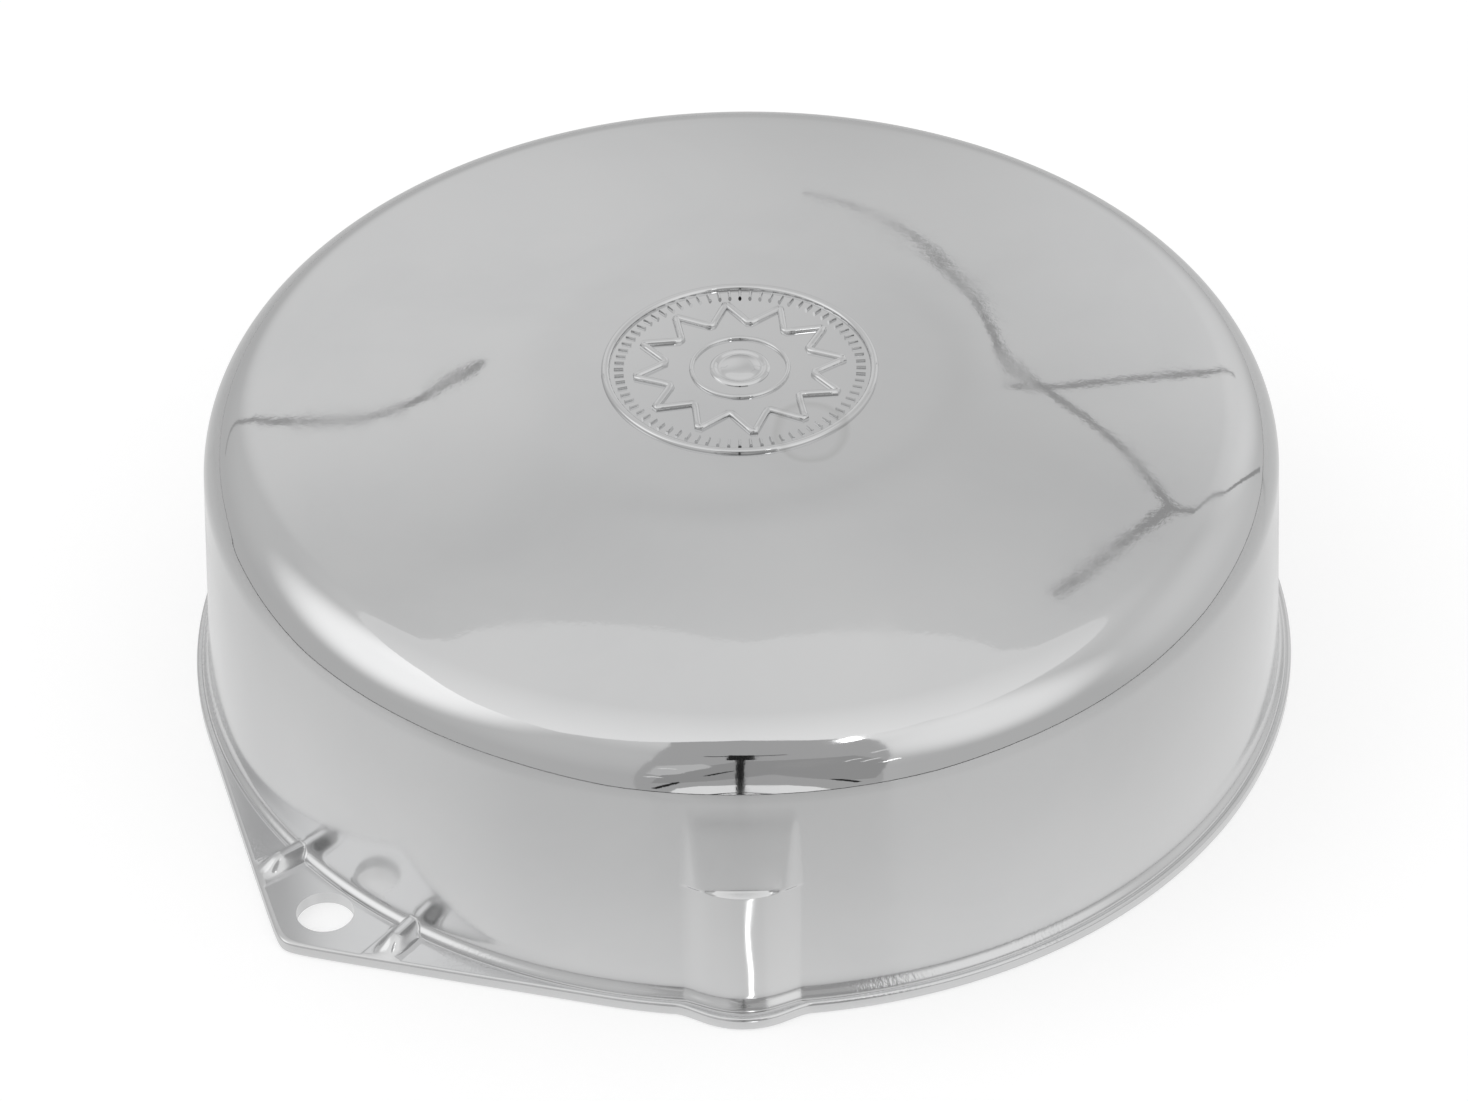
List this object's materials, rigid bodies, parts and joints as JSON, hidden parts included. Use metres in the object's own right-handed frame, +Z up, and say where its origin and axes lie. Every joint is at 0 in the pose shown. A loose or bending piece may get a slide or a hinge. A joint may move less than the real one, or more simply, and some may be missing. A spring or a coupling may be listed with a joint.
{
  "type": "air filter housing",
  "caption": "Round air filter housing with a chromed cast cover, pressed back plate and a pleated ring filter clamped on a central stud.",
  "frame": {"origin": "on the housing's axis, in the plane of the cover flange's flat underside (bottom centre of the bounding box)", "axes": "+Z up along the axis towards the domed top, -Y towards the front boss, the ear lies between -X and -Y"},
  "size_m": [0.131, 0.1352, 0.0417],
  "materials": {
    "chrome": "polished chrome plate over a die casting, slightly wavy",
    "zinc_plate": "pressed steel sheet, bright zinc plated, satin",
    "steel": "turned steel, satin",
    "gauze": "galvanised perforated sheet and wire gauze",
    "brass": "yellow passivated, satin",
    "rubber": "matt black moulded rubber",
    "felt": "pressed grey-brown felt",
    "filter_paper": "resin-treated filter paper, folded"
  },
  "bodies": {
    "base": {"back_plate": "zinc_plate", "inlet_screen": "gauze", "carb_grommet": "rubber", "stud_bridge": "zinc_plate", "centre_stud": "steel", "stud_nut": "brass", "rim_gasket_right": "rubber", "rim_gasket_left": "rubber", "bridge_rivet_1": "steel", "bridge_rivet_2": "steel", "screen_rivet_1": "steel", "screen_rivet_2": "steel", "screen_rivet_3": "steel", "screen_rivet_4": "steel"},
    "cover": {"cover_shell": "chrome"},
    "element": {"element_gasket": "felt", "lower_end_cap": "zinc_plate", "inner_core": "gauze", "pleated_media": "filter_paper", "outer_mesh": "gauze", "upper_end_cap": "zinc_plate"},
    "clamp": {"stud_seal": "rubber", "clamp_washer": "zinc_plate"},
    "nut": {"wing_nut": "brass"},
    "front_screw": {"cover_screw_front": "steel", "screw_washer_front": "zinc_plate", "screw_retainer_front": "steel"},
    "rear_screw": {"cover_screw_rear": "steel", "screw_washer_rear": "zinc_plate", "screw_retainer_rear": "steel"}
  },
  "joints": [
    {"name": "cover_lift", "type": "slide", "parent": "base", "child": "cover", "axis": [0, 0, 1], "range_m": [0, 0.075]},
    {"name": "element_lift", "type": "slide", "parent": "base", "child": "element", "axis": [0, 0, 1], "range_m": [0, 0.035]},
    {"name": "clamp_lift", "type": "slide", "parent": "base", "child": "clamp", "axis": [0, 0, 1], "range_m": [0, 0.053]},
    {"name": "wing_nut_turn", "type": "hinge", "parent": "clamp", "child": "nut", "pos_m": [0, 0, 0.034], "axis": [0, 0, 1], "continuous": true},
    {"name": "front_screw_turn", "type": "hinge", "parent": "base", "child": "front_screw", "pos_m": [0, -0.0598, 0.001], "axis": [0, 0, 1], "continuous": true},
    {"name": "rear_screw_turn", "type": "hinge", "parent": "base", "child": "rear_screw", "pos_m": [0, 0.0598, 0.001], "axis": [0, 0, 1], "continuous": true}
  ],
  "couplings": [
    {"joint": "element_lift", "follows": "cover_lift", "ratio": 0.45},
    {"joint": "clamp_lift", "follows": "cover_lift", "ratio": 0.7}
  ]
}
